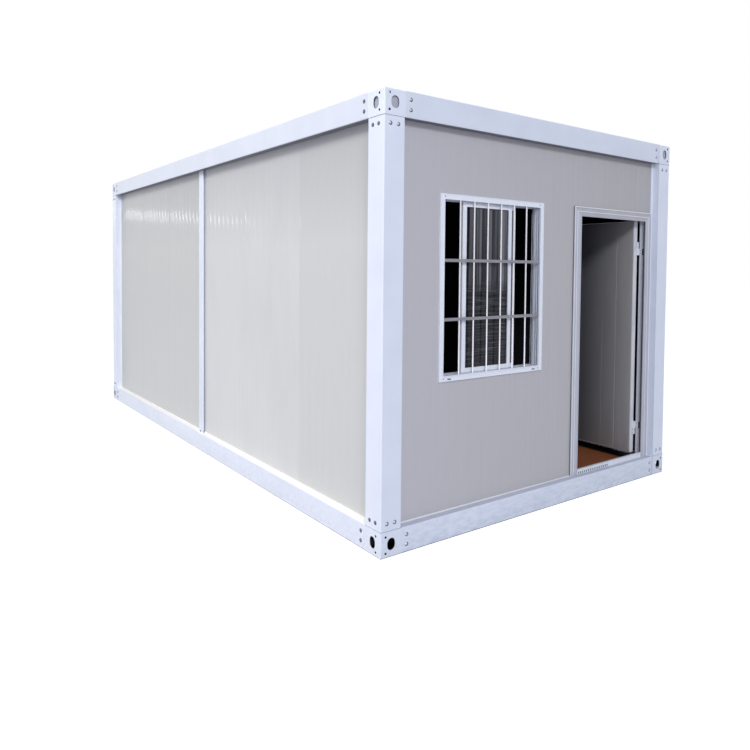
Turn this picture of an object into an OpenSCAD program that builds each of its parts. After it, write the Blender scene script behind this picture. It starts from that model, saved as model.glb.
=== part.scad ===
// Container office: a flat-pack steel frame with corner castings, sandwich panel walls,
// a barred sliding window and an inward opening door. Millimetres, +Z up.
// Origin: centre of the footprint, at ground level. The door end faces -Y.

/* [Overall size] */
// Width across the end walls
house_w = 3000; // [2850:10:3500]
// Length along the side walls
house_l = 6055; // [4800:5:7200]
// Height from the ground to the top of the roof frame
house_h = 2800; // [2700:10:3200]

/* [Frame] */
// Size of a corner casting along the end wall
cast_w = 160; // [155:1:190]
// Size of a corner casting along the side wall
cast_l = 172; // [168:1:200]
// Height of the castings and of the rails between them
frame_h = 160; // [150:1:190]
// Plate thickness of the castings
cast_wall = 8; // [6:1:12]
// Radius on the outer edges of the castings
cast_round = 10; // [4:1:16]
// Width of the oval holes
oval_w = 58; // [44:1:64]
// Length of the oval holes
oval_l = 74; // [66:1:90]
// Diameter of the small joining holes
join_d = 12; // [8:1:14]
// Joining holes from the outer edge, on the end walls
join_in_w = 38; // [30:1:42]
// Joining holes from the outer edge, on the side walls
join_in_l = 50; // [36:1:52]
// Outermost joining hole from the ground or the roof line
join_out = 30; // [24:1:36]
// Distance between the two joining holes of a face
join_pitch = 99; // [90:1:104]
// How far posts and rails stand back from the faces of the castings
frame_in = 3; // [1:0.5:6]
// Inner side of a post from the house's side
post_w = 152; // [140:1:155]
// Inner side of a post from the house's end
post_l = 166; // [150:1:168]
// Plate thickness of the posts
post_t = 4; // [3:0.5:6]
// Bend radius on the outer edge of posts and rails
bend_r = 6; // [4:1:10]
// Width of the lip on a post that laps the wall
lip_w = 22; // [15:1:30]
// Thickness of that lip
lip_t = 4; // [3:0.5:6]
// Inner side of the rails from the house's side or end
rail_d = 130; // [120:1:145]
// Plate thickness of the rails
rail_t = 4; // [3:0.5:6]

/* [Walls] */
// Setback of the wall face behind the frame
wall_in = 65; // [50:1:66]
// Thickness of the sandwich panels
wall_t = 50; // [40:1:52]
// Width of a whole panel
panel_w = 950; // [900:10:980]
// Joint between two panels
panel_gap = 1.5; // [1:0.1:1.8]
// Width of the upright strip at the middle of a side wall
divider_w = 98; // [70:1:140]
// How far that strip stands in front of the panels
divider_proud = 20; // [10:1:30]
// Width of the groove along the strip
groove_w = 14; // [8:1:24]
// Depth of that groove
groove_d = 6; // [3:1:8]

/* [Floor and roof] */
// Height of the floor above the ground
floor_top = 125; // [115:1:140]
// Thickness of the floor board
floor_t = 18; // [12:1:24]
// Height of the floor joists
joist_h = 80; // [60:1:88]
// Width of the floor joists and roof beams
joist_w = 50; // [40:1:70]
// Plate thickness of the joists and beams
joist_t = 3; // [2:0.5:5]
// Number of floor joists
joist_n = 9; // [6:1:12]
// Thickness of the ceiling panel
ceiling_t = 10; // [6:1:16]
// Height of the roof beams
beam_h = 100; // [60:1:104]
// Number of roof beams
beam_n = 6; // [4:1:9]
// Thickness of the roof sheet
sheet_t = 2; // [1:0.5:3]
// Height of the ribs in the roof sheet
rib_h = 25; // [15:1:35]
// Distance from rib to rib
rib_pitch = 200; // [150:10:300]
// Width of a rib at its foot
rib_foot = 64; // [50:1:80]
// Width of a rib at its top
rib_top = 30; // [20:1:40]
// Gap round the floor, the ceiling and the roof sheet
plate_gap = 0.5; // [0.3:0.1:0.8]

/* [Window] */
// Left edge of the window trim from the left end of the house
win_x = 486; // [440:1:505]
// Underside of the window trim above the ground
win_z = 1010; // [850:10:1050]
// Width over the trim
win_w = 980; // [900:10:1000]
// Height over the trim
win_h = 1210; // [900:10:1240]
// Width of the trim's face
win_face = 36; // [30:1:44]
// How much of the trim laps the wall
win_lap = 12; // [8:1:16]
// How far the trim stands in front of the wall
win_proud = 12; // [6:1:18]
// Depth of the window frame, front to back
win_depth = 80; // [78:1:100]
// Left joint of the window's wall panel from the left end
win_joint = 516; // [506:1:540]
// Number of upright rods in the grille
rod_n = 6; // [4:1:6]
// Distance from rod to rod
rod_pitch = 126; // [90:1:127]
// Diameter of a rod
rod_d = 12; // [10:1:16]
// Height of a cross bar of the grille
bar_h = 20; // [16:1:30]
// Thickness of a cross bar
bar_t = 14; // [14:1:18]
// Lower cross bar above the clear sill
bar_low = 355; // [250:1:450]
// Distance between the two cross bars
bar_pitch = 383; // [250:1:450]
// Clearance of a rod in its hole
rod_gap = 0.3; // [0.2:0.1:0.5]
// Grille centre behind the front of the trim
grille_in = 8; // [7:1:18]
// Width of a sliding sash
sash_w = 462; // [440:1:520]
// Left edge of the outer sash from the clear edge of the frame
sash_x = 182; // [120:1:240]
// How far the inner sash stands to the right of the outer one
sash_step = 59; // [0:1:80]
// Width of the sash profile
sash_face = 30; // [24:1:50]
// Thickness of a sash
sash_t = 22; // [18:1:24]
// Front of the outer sash behind the front of the trim
sash_in = 29; // [28:1:32]
// Gap between the two sashes, and round them in the frame
sash_gap = 0.5; // [0.3:0.1:0.8]
// Thickness of the glass
glass_t = 5; // [4:1:8]

/* [Door] */
// Clear width between the door stops
door_w = 846; // [750:1:860]
// Top of the clear opening above the ground
door_top = 2151; // [2000:1:2200]
// Width of the face of the two jambs
jamb_face = 81; // [60:1:84]
// Height of the face of the head
head_face = 72; // [60:1:84]
// How much of the door frame laps the wall
jamb_lap = 10; // [6:1:14]
// How far the frame stands in front of the wall
jamb_proud = 15; // [12:1:20]
// Gap between the door frame and the lip of the right post
door_side = 0.5; // [0.3:0.1:20]
// Depth of the door stop
stop_t = 20; // [16:1:24]
// Height of the door stop over the rebate
stop_h = 14; // [12:1:18]
// Width of the raised edges of the frame
bead_w = 8; // [5:1:12]
// Height of those raised edges
bead_h = 3; // [1:0.5:4]
// Height of the sill's front above the rail
sill_h = 38; // [30:1:45]
// Height of the sill behind the stop
sill_back = 16; // [10:1:20]
// Thickness of the leaf
leaf_t = 45; // [40:1:46]
// Gap between leaf and stop
leaf_gap = 5; // [5:0.5:7]
// Gap at the two upright edges and the top of the leaf
leaf_side = 8; // [7:0.5:10]
// Gap under the leaf, over the back of the sill
leaf_under = 11; // [6:1:16]
// Angle at which the leaf stands open
leaf_open = 90; // [0:1:94]
// Foot of the lower hinge above the ground
hinge_low = 342; // [300:1:500]
// Foot of the upper hinge above the ground
hinge_high = 1871; // [1500:1:1950]
// Height of a hinge
hinge_h = 110; // [90:1:140]
// Thickness of a hinge plate
hinge_t = 2.5; // [2:0.5:3]
// Length of a hinge plate on the leaf or the frame
hinge_l = 30; // [24:1:34]
// Outer diameter of a hinge knuckle
knuckle_d = 14; // [13:0.5:16]
// Diameter of a hinge pin
hinge_pin = 8; // [7:0.5:9]
// Running clearance round the pin
pin_gap = 0.3; // [0.2:0.1:0.4]
// Gap between the two halves of a hinge
knuckle_gap = 0.6; // [0.4:0.1:0.8]
// Pin axis past the edge of the leaf
pin_out = 3; // [2:0.5:4]
// Height of the door handle above the ground
handle_z = 1060; // [950:10:1150]
// Handle spindle from the free edge of the leaf
handle_in = 60; // [50:1:80]
// Width of the handle's back plate
plate_w = 40; // [30:1:50]
// Height of the back plate
plate_h = 220; // [180:1:260]
// Thickness of the back plate
plate_t = 6; // [4:1:8]
// Reach of the lever from the back plate
lever_out = 45; // [35:1:50]
// Length of the lever
lever_l = 120; // [90:1:140]
// Diameter of the lever
lever_d = 18; // [14:1:22]

/* [Hidden] */
$fn = 48;
eps = 1;                                   // overshoot of cutting solids
strip_min = 60;                            // narrowest strip of wall panel
wall_z = frame_h;                          // foot of the walls
wall_top = house_h - frame_h;              // top of the walls
wall_back = wall_in + wall_t;              // inner wall face behind the frame
half_gap = panel_gap / 2;

// window
win_front = wall_in - win_proud;
cut_x = win_x + win_lap;
cut_z = win_z + win_lap;
cut_w = win_w - 2 * win_lap;
cut_h = win_h - 2 * win_lap;
clear_x = win_x + win_face;
clear_z = win_z + win_face;
clear_w = win_w - 2 * win_face;
clear_h = win_h - 2 * win_face;
sash_h = clear_h - 2 * sash_gap;
rod_x = clear_x + (clear_w - (rod_n - 1) * rod_pitch) / 2;
grille_y = win_front + grille_in;
sash_y = win_front + sash_in;

// door
frame_w = door_w + 2 * jamb_face;
door_x = house_w - post_w - lip_w - door_side - frame_w;
jamb_y = wall_in - jamb_proud;
frame_top = door_top + head_face;
door_cut_x = door_x + jamb_lap;
door_cut_w = frame_w - 2 * jamb_lap;
door_cut_top = frame_top - jamb_lap;
stop_x0 = door_x + jamb_face;
stop_x1 = stop_x0 + door_w;
rebate_x0 = stop_x0 - stop_h;
rebate_x1 = stop_x1 + stop_h;
jamb_depth = wall_back - jamb_y;
leaf_y = jamb_y + stop_t + leaf_gap;
leaf_x0 = rebate_x0 + leaf_side;
leaf_x1 = rebate_x1 - leaf_side;
leaf_z = wall_z + sill_back + leaf_under;
leaf_top = door_top + stop_h - leaf_side;
pin_x = leaf_x1 + pin_out;
pin_y = leaf_y + leaf_t + knuckle_d / 2;

// roof
ceiling_z = wall_top;
beam_z = ceiling_z + ceiling_t;
sheet_z = beam_z + beam_h;

// ---------- placing ----------
// the house is drawn from its left front corner, x to the right and y to the rear
module placed() {
    translate([-house_w / 2, -house_l / 2, 0]) children();
}

// a piece drawn for the left front corner, set at any of the four corners
module at_corner(right, rear) {
    placed()
        translate([right ? house_w : 0, rear ? house_l : 0, 0])
            mirror([right ? 1 : 0, 0, 0])
                mirror([0, rear ? 1 : 0, 0])
                    children();
}

// a piece drawn at the ground, turned over to hang from the roof line
module under_roof() {
    translate([0, 0, house_h]) mirror([0, 0, 1]) children();
}

// a rectangle whose corner at the origin is rounded
module rounded_corner(a, b, r) {
    translate([r, 0]) square([a - r, b]);
    translate([0, r]) square([a, b - r]);
    translate([r, r]) circle(r);
}

// a rectangle whose two corners on the x = 0 side are rounded
module rounded_side(a, b, r) {
    translate([r, 0]) square([a - r, b]);
    translate([0, r]) square([a, b - 2 * r]);
    translate([r, r]) circle(r);
    translate([r, b - r]) circle(r);
}

// a slot with round ends, its length along x, cut downwards from z = 0
module oval_cut(depth) {
    straight = oval_l - oval_w;
    translate([0, 0, -depth]) linear_extrude(depth + eps) {
        square([straight, oval_w], center = true);
        translate([-straight / 2, 0]) circle(d = oval_w);
        translate([straight / 2, 0]) circle(d = oval_w);
    }
}

// ---------- frame ----------
// corner casting for the left front of the base, its outer corner at the origin
module casting() {
    depth = cast_wall + eps;
    color("#dfe4f4") difference() {
        intersection() {
            linear_extrude(frame_h) rounded_corner(cast_w, cast_l, cast_round);
            translate([0, cast_l, 0]) rotate([90, 0, 0])
                linear_extrude(cast_l) rounded_corner(cast_w, frame_h, cast_round);
            rotate([90, 0, 90])
                linear_extrude(cast_w) rounded_corner(cast_l, frame_h, cast_round);
        }
        translate([cast_wall, cast_wall, cast_wall])
            cube([cast_w - 2 * cast_wall, cast_l - 2 * cast_wall, frame_h - 2 * cast_wall]);
        translate([cast_w / 2, 0, frame_h / 2])
            rotate([90, 0, 0]) rotate([0, 0, 90]) oval_cut(depth);
        translate([0, cast_l / 2, frame_h / 2])
            rotate([0, -90, 0]) oval_cut(depth);
        translate([cast_w / 2, cast_l / 2, 0])
            rotate([180, 0, 0]) rotate([0, 0, 90]) oval_cut(depth);
        for (z = [join_out, join_out + join_pitch]) {
            translate([join_in_w, -eps, z]) rotate([-90, 0, 0])
                cylinder(h = depth + eps, d = join_d);
            translate([-eps, join_in_l, z]) rotate([0, 90, 0])
                cylinder(h = depth + eps, d = join_d);
        }
    }
}

// corner post for the left front: a folded tube with a lip in front of each wall
module post() {
    w = post_w - frame_in;
    l = post_l - frame_in;
    color("#dde3f5") translate([0, 0, wall_z]) linear_extrude(wall_top - wall_z) {
        translate([frame_in, frame_in]) difference() {
            rounded_corner(w, l, bend_r);
            translate([post_t, post_t]) square([w - 2 * post_t, l - 2 * post_t]);
        }
        translate([post_w, wall_in - lip_t]) square([lip_w, lip_t]);
        translate([wall_in - lip_t, post_l]) square([lip_t, lip_w]);
    }
}

// hollow section of a rail, its outer side towards x = 0
module rail_section() {
    d = rail_d - frame_in;
    translate([frame_in, 0]) difference() {
        rounded_side(d, frame_h, bend_r);
        translate([rail_t, rail_t]) square([d - 2 * rail_t, frame_h - 2 * rail_t]);
    }
}

// rail along the left side at the ground
module side_rail() {
    color("#e4e8f8") translate([0, house_l - cast_l, 0]) rotate([90, 0, 0])
        linear_extrude(house_l - 2 * cast_l) rail_section();
}

// rail along the front at the ground
module end_rail() {
    color("#c9d1e6") translate([cast_w, 0, 0]) rotate([90, 0, 90])
        linear_extrude(house_w - 2 * cast_w) rail_section();
}

// ---------- floor and roof ----------
// a row of hollow beams across the house, standing at height z
module cross_beams(n, height, z) {
    first = cast_l + joist_w;
    pitch = (house_l - 2 * first) / (n - 1);
    placed() for (i = [0 : n - 1])
        translate([rail_d, first + i * pitch - joist_w / 2, z]) difference() {
            cube([house_w - 2 * rail_d, joist_w, height]);
            translate([-eps, joist_t, joist_t])
                cube([house_w - 2 * rail_d + 2 * eps, joist_w - 2 * joist_t,
                      height - 2 * joist_t]);
        }
}

// what the four castings take out of a plate between the rails
module corner_cuts(z, height) {
    for (x = [0, 1], y = [0, 1])
        translate([x * house_w, y * house_l, z]) mirror([x, 0, 0]) mirror([0, y, 0])
            translate([0, 0, -eps])
                cube([cast_w + plate_gap, cast_l + plate_gap, height + 2 * eps]);
}

// a flat plate between the rails
module inner_plate(z, thickness) {
    edge = rail_d + plate_gap;
    placed() difference() {
        translate([edge, edge, z])
            cube([house_w - 2 * edge, house_l - 2 * edge, thickness]);
        corner_cuts(z, thickness);
    }
}

module floor_joists() {
    color("#b9bec9") cross_beams(joist_n, joist_h, floor_top - floor_t - joist_h);
}

module floor_board() {
    color("#6b4430") inner_plate(floor_top - floor_t, floor_t);
}

module ceiling_panel() {
    color("#d9dade") inner_plate(ceiling_z, ceiling_t);
}

module roof_beams() {
    color("#b9bec9") cross_beams(beam_n, beam_h, beam_z);
}

// ribbed sheet between the rails, its ribs running across the house
module roof_sheet() {
    edge = rail_d + plate_gap;
    run = house_l - 2 * edge;
    ribs = floor((run - rib_foot) / rib_pitch);
    start = (run - (ribs - 1) * rib_pitch) / 2;
    slope = (rib_foot - rib_top) / 2;
    upper = [for (i = [0 : ribs - 1]) let (c = start + i * rib_pitch)
        each [[c - rib_foot / 2, sheet_t], [c - rib_foot / 2 + slope, rib_h + sheet_t],
              [c + rib_foot / 2 - slope, rib_h + sheet_t], [c + rib_foot / 2, sheet_t]]];
    lower = [for (i = [ribs - 1 : -1 : 0]) let (c = start + i * rib_pitch)
        each [[c + rib_foot / 2 - sheet_t, 0], [c + rib_foot / 2 - slope - sheet_t, rib_h],
              [c - rib_foot / 2 + slope + sheet_t, rib_h], [c - rib_foot / 2 + sheet_t, 0]]];
    color("#cfd3dc") placed() difference() {
        translate([edge, edge, sheet_z]) rotate([90, 0, 90])
            linear_extrude(house_w - 2 * edge)
                polygon(concat([[0, 0], [0, sheet_t]], upper, [[run, sheet_t], [run, 0]], lower));
        corner_cuts(sheet_z, rib_h + sheet_t);
    }
}

// ---------- walls ----------
// the joints of a run from lo to hi, a whole number of panels away from the joint at one
function joints(lo, hi, one) =
    concat([lo], [for (k = [-20 : 20]) let (j = one + k * panel_w)
        if (j > lo + strip_min && j < hi - strip_min) j], [hi]);

// wall panels along y, drawn for the left wall
module side_panels() {
    edges = joints(post_l, house_l - post_l, house_l / 2);
    for (i = [0 : len(edges) - 2])
        translate([wall_in, edges[i] + half_gap, wall_z])
            cube([wall_t, edges[i + 1] - edges[i] - panel_gap, wall_top - wall_z]);
}

// one wall panel of the end wall nearest y = 0
module end_panel(x0, x1) {
    translate([x0 + half_gap, wall_in, wall_z])
        cube([x1 - x0 - panel_gap, wall_t, wall_top - wall_z]);
}

module window_cut() {
    translate([cut_x, wall_in - eps, cut_z]) cube([cut_w, wall_t + 2 * eps, cut_h]);
}

module left_wall() {
    color("#d3d3d6") placed() side_panels();
}

module right_wall() {
    color("#d3d3d6") at_corner(true, false) side_panels();
}

module rear_wall() {
    edges = joints(post_w, house_w - post_w, (house_w - panel_w) / 2);
    color("#b2b3bc") at_corner(false, true)
        for (i = [0 : len(edges) - 2]) end_panel(edges[i], edges[i + 1]);
}

// strips left of the window panel, between window and door, and beside the door
module front_wall() {
    color("#b2b3bc") placed() {
        difference() {
            end_panel(post_w, win_joint);
            window_cut();
        }
        end_panel(win_joint + panel_w, door_cut_x);
        end_panel(door_cut_x + door_cut_w, house_w - post_w);
    }
}

module window_panel() {
    color("#b2b3bc") placed() difference() {
        end_panel(win_joint, win_joint + panel_w);
        window_cut();
    }
}

module over_door_panel() {
    foot = door_cut_top + half_gap;
    color("#a9aab2") placed() translate([door_cut_x + half_gap, wall_in, foot])
        cube([door_cut_w - panel_gap, wall_t, wall_top - foot]);
}

// grooved upright strip in front of the middle joint, drawn for the left wall
module divider() {
    color("#e2e6f6") translate([wall_in - divider_proud, house_l / 2, wall_z])
        linear_extrude(wall_top - wall_z) difference() {
            translate([0, -divider_w / 2]) square([divider_proud, divider_w]);
            translate([-eps, -groove_w / 2]) square([groove_d + eps, groove_w]);
        }
}

// ---------- window ----------
// a ring in the wall plane, its front at y, from the outline to the clear opening
module ring(x, z, w, h, y, depth) {
    translate([0, y, 0]) difference() {
        translate([x, 0, z]) cube([w, depth, h]);
        translate([clear_x, -eps, clear_z]) cube([clear_w, depth + 2 * eps, clear_h]);
    }
}

module window_frame() {
    color("#d6dbed") placed() {
        ring(win_x, win_z, win_w, win_h, win_front, win_proud);
        ring(cut_x + half_gap, cut_z, cut_w - panel_gap, cut_h, win_front, win_depth);
    }
}

module grille_rods() {
    color("#dcdde0") placed() for (i = [0 : rod_n - 1])
        translate([rod_x + i * rod_pitch, grille_y, clear_z])
            cylinder(h = clear_h, d = rod_d, $fn = 24);
}

// flat cross bars with a hole for each rod
module grille_bars() {
    color("#98979c") placed() for (z = [bar_low, bar_low + bar_pitch]) difference() {
        translate([clear_x, grille_y - bar_t / 2, clear_z + z]) cube([clear_w, bar_t, bar_h]);
        for (i = [0 : rod_n - 1])
            translate([rod_x + i * rod_pitch, grille_y, clear_z + z - eps])
                cylinder(h = bar_h + 2 * eps, d = rod_d + 2 * rod_gap, $fn = 24);
    }
}

// places what is drawn for one sash at both: the outer one, and the inner one behind it
module each_sash() {
    placed() for (i = [0, 1])
        translate([clear_x + sash_x + i * sash_step, sash_y + i * (sash_t + sash_gap),
                   clear_z + sash_gap])
            children();
}

module window_sashes() {
    color("#e0e4f2") each_sash() difference() {
        cube([sash_w, sash_t, sash_h]);
        translate([sash_face, -eps, sash_face])
            cube([sash_w - 2 * sash_face, sash_t + 2 * eps, sash_h - 2 * sash_face]);
    }
}

module window_glass() {
    color("#4a4b50") each_sash() translate([sash_face, (sash_t - glass_t) / 2, sash_face])
        cube([sash_w - 2 * sash_face, glass_t, sash_h - 2 * sash_face]);
}

// ---------- door frame ----------
// section of the frame: x from the outer edge inwards, y from the front to the back
module frame_section(face) {
    polygon([
        [0, 0], [bead_w, 0], [bead_w, bead_h], [face - bead_w, bead_h],
        [face - bead_w, 0], [face, 0], [face, stop_t],
        [face - stop_h, stop_t], [face - stop_h, jamb_depth],
        [jamb_lap + half_gap, jamb_depth], [jamb_lap + half_gap, jamb_proud],
        [0, jamb_proud]
    ]);
}

// length of frame section along z, its inner edge cut back at the ends for a mitre
module mitred_bar(length, face, start, end) {
    intersection() {
        linear_extrude(length) frame_section(face);
        translate([0, jamb_depth, 0]) rotate([90, 0, 0]) linear_extrude(jamb_depth)
            polygon([[0, 0], [0, length], [face, length - end], [face, start]]);
    }
}

module jamb() {
    translate([door_x, jamb_y, wall_z])
        mitred_bar(frame_top - wall_z, jamb_face, 0, head_face);
}

module door_frame_left() {
    color("#b8bac8") placed() jamb();
}

module door_frame_right() {
    color("#b8bac8") placed() translate([2 * door_x + frame_w, 0, 0]) mirror([1, 0, 0]) jamb();
}

module door_frame_head() {
    color("#b8bac8") placed() translate([door_x, jamb_y, frame_top])
        rotate([0, 90, 0]) mitred_bar(frame_w, head_face, jamb_face, jamb_face);
}

// threshold: a raised front between the stops and a low back between the rebates
module door_sill() {
    color("#c2c5d2") placed() {
        translate([stop_x0, jamb_y + bead_h, wall_z]) cube([door_w, stop_t - bead_h, sill_h]);
        translate([stop_x0, jamb_y, wall_z]) cube([door_w, bead_h, bead_w]);
        translate([rebate_x0, jamb_y + stop_t, wall_z])
            cube([door_w + 2 * stop_h, jamb_depth - stop_t, sill_back]);
    }
}

// ---------- door leaf and hinges ----------
// turns what is drawn for the shut door to the angle at which it stands open
module opened() {
    placed() translate([pin_x, pin_y, 0]) rotate([0, 0, -leaf_open])
        translate([-pin_x, -pin_y, 0]) children();
}

module door_leaf() {
    color("#8e8d95") opened() translate([leaf_x0, leaf_y, leaf_z])
        cube([leaf_x1 - leaf_x0, leaf_t, leaf_top - leaf_z]);
}

half_h = (hinge_h - knuckle_gap) / 2;

// half a hinge standing on z: its plate has one face at x = plate_x and runs to the knuckle
module hinge_half(plate_x, z, hole) {
    plate_y = pin_y - knuckle_d / 2 - hinge_l;
    translate([0, 0, z]) difference() {
        union() {
            translate([plate_x, plate_y, 0])
                cube([hinge_t, hinge_l + (knuckle_d - hinge_pin) / 4, half_h]);
            translate([pin_x, pin_y, 0]) cylinder(h = half_h, d = knuckle_d);
        }
        translate([pin_x, pin_y, -eps]) cylinder(h = half_h + 2 * eps, d = hole);
    }
}

// frame half of both hinges, with the pin fixed in it and reaching into the leaf's half
module frame_hinges() {
    plate_x = rebate_x1 - hinge_t;
    color("#c9cad0") placed() {
        hinge_half(plate_x, hinge_high, hinge_pin);
        hinge_half(plate_x, hinge_low + half_h + knuckle_gap, hinge_pin);
        for (z = [hinge_low, hinge_high])
            translate([pin_x, pin_y, z]) cylinder(h = hinge_h, d = hinge_pin);
    }
}

// leaf half of both hinges: above the pin's fixed half at the top, below it at the bottom
module leaf_hinges() {
    bore = hinge_pin + 2 * pin_gap;
    color("#8d8e94") opened() {
        hinge_half(leaf_x1, hinge_high + half_h + knuckle_gap, bore);
        hinge_half(leaf_x1, hinge_low, bore);
    }
}

// back plate, neck and lever on one face of the leaf, standing out along -y
module handle() {
    translate([-plate_w / 2, -plate_t, -plate_h * 2 / 3]) cube([plate_w, plate_t, plate_h]);
    rotate([90, 0, 0]) cylinder(h = lever_out + plate_t, d = lever_d);
    translate([0, -lever_out - plate_t + lever_d / 2, 0]) rotate([0, 90, 0])
        cylinder(h = lever_l, d = lever_d);
}

module door_handles() {
    color("#9b9ca1") opened() translate([leaf_x0 + handle_in, 0, handle_z]) {
        translate([0, leaf_y, 0]) handle();
        translate([0, leaf_y + leaf_t, 0]) mirror([0, 1, 0]) handle();
    }
}

at_corner(false, false) casting();  // base_corner_front_left
at_corner(true, false) casting();  // base_corner_front_right
at_corner(false, true) casting();  // base_corner_rear_left
at_corner(true, true) casting();  // base_corner_rear_right
under_roof() at_corner(false, false) casting();  // roof_corner_front_left
under_roof() at_corner(true, false) casting();  // roof_corner_front_right
under_roof() at_corner(false, true) casting();  // roof_corner_rear_left
under_roof() at_corner(true, true) casting();  // roof_corner_rear_right
at_corner(false, false) post();  // post_front_left
at_corner(true, false) post();  // post_front_right
at_corner(false, true) post();  // post_rear_left
at_corner(true, true) post();  // post_rear_right
at_corner(false, false) end_rail();  // base_rail_front
at_corner(false, true) end_rail();  // base_rail_rear
at_corner(false, false) side_rail();  // base_rail_left
at_corner(true, false) side_rail();  // base_rail_right
under_roof() at_corner(false, false) end_rail();  // roof_rail_front
under_roof() at_corner(false, true) end_rail();  // roof_rail_rear
under_roof() at_corner(false, false) side_rail();  // roof_rail_left
under_roof() at_corner(true, false) side_rail();  // roof_rail_right
floor_joists();
floor_board();
ceiling_panel();
roof_beams();
roof_sheet();
left_wall();
right_wall();
rear_wall();
front_wall();
window_panel();
over_door_panel();
at_corner(false, false) divider();  // left_divider
at_corner(true, false) divider();  // right_divider
window_frame();
grille_rods();
grille_bars();
window_sashes();
window_glass();
door_frame_left();
door_frame_right();
door_frame_head();
door_sill();
frame_hinges();
leaf_hinges();
door_leaf();
door_handles();
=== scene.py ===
# Container office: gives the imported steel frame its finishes, adds the small fittings
# that a maker would screw, press or seal on, and sets the studio and the camera.
import bpy
import bmesh
import math
from mathutils import Matrix, Vector


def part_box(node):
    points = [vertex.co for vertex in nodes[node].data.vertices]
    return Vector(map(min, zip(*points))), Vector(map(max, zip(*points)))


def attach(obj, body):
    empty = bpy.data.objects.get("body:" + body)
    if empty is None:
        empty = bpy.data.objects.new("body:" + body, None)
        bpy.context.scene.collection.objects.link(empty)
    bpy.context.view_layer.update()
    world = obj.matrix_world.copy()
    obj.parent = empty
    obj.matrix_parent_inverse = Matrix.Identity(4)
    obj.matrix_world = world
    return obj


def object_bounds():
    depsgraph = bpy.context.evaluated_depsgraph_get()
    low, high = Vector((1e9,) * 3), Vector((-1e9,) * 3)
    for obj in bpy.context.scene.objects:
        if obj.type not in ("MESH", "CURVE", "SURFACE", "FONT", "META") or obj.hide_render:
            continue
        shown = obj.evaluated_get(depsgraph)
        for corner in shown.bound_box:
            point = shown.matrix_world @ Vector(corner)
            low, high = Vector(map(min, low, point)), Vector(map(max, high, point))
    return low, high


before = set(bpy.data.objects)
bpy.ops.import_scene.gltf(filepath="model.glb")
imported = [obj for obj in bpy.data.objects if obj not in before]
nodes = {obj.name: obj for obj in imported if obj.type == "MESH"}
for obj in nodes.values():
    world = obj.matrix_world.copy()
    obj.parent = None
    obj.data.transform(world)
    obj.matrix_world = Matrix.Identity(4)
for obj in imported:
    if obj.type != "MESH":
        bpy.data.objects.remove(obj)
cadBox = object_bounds()
low, high = cadBox
print("frame loaded:", len(nodes), "nodes")

touching = 1e-5    # metres: points closer than this share a place
sharpAngle = 35    # degrees: edges that turn more than this stay sharp


def activate(obj):
    bpy.ops.object.select_all(action="DESELECT")
    obj.select_set(True)
    bpy.context.view_layer.objects.active = obj


def settle(obj):
    # puts the place, turn and size of an object into its mesh
    activate(obj)
    bpy.ops.object.transform_apply(location=True, rotation=True, scale=True)
    return obj


def startEdit(obj):
    activate(obj)
    bpy.ops.object.mode_set(mode="EDIT")
    bpy.ops.mesh.select_mode(type="FACE")
    bpy.ops.mesh.select_all(action="DESELECT")


def endEdit():
    bpy.ops.object.mode_set(mode="OBJECT")


def pick(obj, kind, test):
    # selects the faces, edges or vertices that pass the test, and nothing else
    bpy.ops.mesh.select_mode(type={"verts": "VERT", "edges": "EDGE", "faces": "FACE"}[kind])
    bpy.ops.mesh.select_all(action="DESELECT")
    mesh = bmesh.from_edit_mesh(obj.data)
    found = [part for part in getattr(mesh, kind) if test(part)]
    for part in found:
        part.select_set(True)
    bmesh.update_edit_mesh(obj.data)
    return len(found)


def recalculate(obj):
    startEdit(obj)
    bpy.ops.mesh.select_all(action="SELECT")
    bpy.ops.mesh.normals_make_consistent(inside=False)
    endEdit()
    return obj


def applyModifier(obj, kind, **values):
    activate(obj)
    modifier = obj.modifiers.new(kind.lower(), kind)
    for key, value in values.items():
        setattr(modifier, key, value)
    bpy.ops.object.modifier_apply(modifier=modifier.name)
    return obj


def soften(obj, width, segments=2):
    return applyModifier(obj, "BEVEL", width=width, segments=segments, limit_method="ANGLE",
                         angle_limit=math.radians(sharpAngle))


def block(name, a, b, rounding=0.0):
    # a block between two opposite corners, its edges rounded when asked
    a, b = [Vector([end(pair) for pair in zip(a, b)]) for end in (min, max)]
    bpy.ops.object.select_all(action="DESELECT")
    bpy.ops.mesh.primitive_cube_add(size=1, location=(a + b) / 2)
    obj = bpy.context.object
    obj.name = obj.data.name = name
    obj.scale = b - a
    settle(obj)
    return soften(obj, rounding) if rounding else obj


def disc(name, radius, depth, sides=24):
    # a short cylinder standing on z = 0
    bpy.ops.object.select_all(action="DESELECT")
    bpy.ops.mesh.primitive_cylinder_add(vertices=sides, radius=radius, depth=depth,
        location=(0, 0, depth / 2))
    obj = bpy.context.object
    obj.name = obj.data.name = name
    return settle(obj)


def cutAcross(axis, places):
    # cuts the mesh being edited right through, at places along one axis
    normal = Vector([float(a == axis) for a in "xyz"])
    for place in places:
        bpy.ops.mesh.select_all(action="SELECT")
        bpy.ops.mesh.bisect(plane_co=normal * place, plane_no=normal)


def sunken(obj, rim, deep):
    # sets the flat top of a piece back behind a rim
    startEdit(obj)
    pick(obj, "faces", lambda f: f.normal.z > 0.99 and len(f.verts) > 4)
    bpy.ops.mesh.inset(thickness=rim)
    bpy.ops.mesh.extrude_region_move(TRANSFORM_OT_translate={"value": (0, 0, -deep)})
    endEdit()
    return obj


def copied(obj, matrix, name=""):
    twin = obj.copy()
    twin.data = obj.data.copy()
    bpy.context.scene.collection.objects.link(twin)
    twin.matrix_world = matrix
    settle(twin)
    if matrix.determinant() < 0:
        recalculate(twin)
    if name:
        twin.name = twin.data.name = name
    return twin


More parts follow.
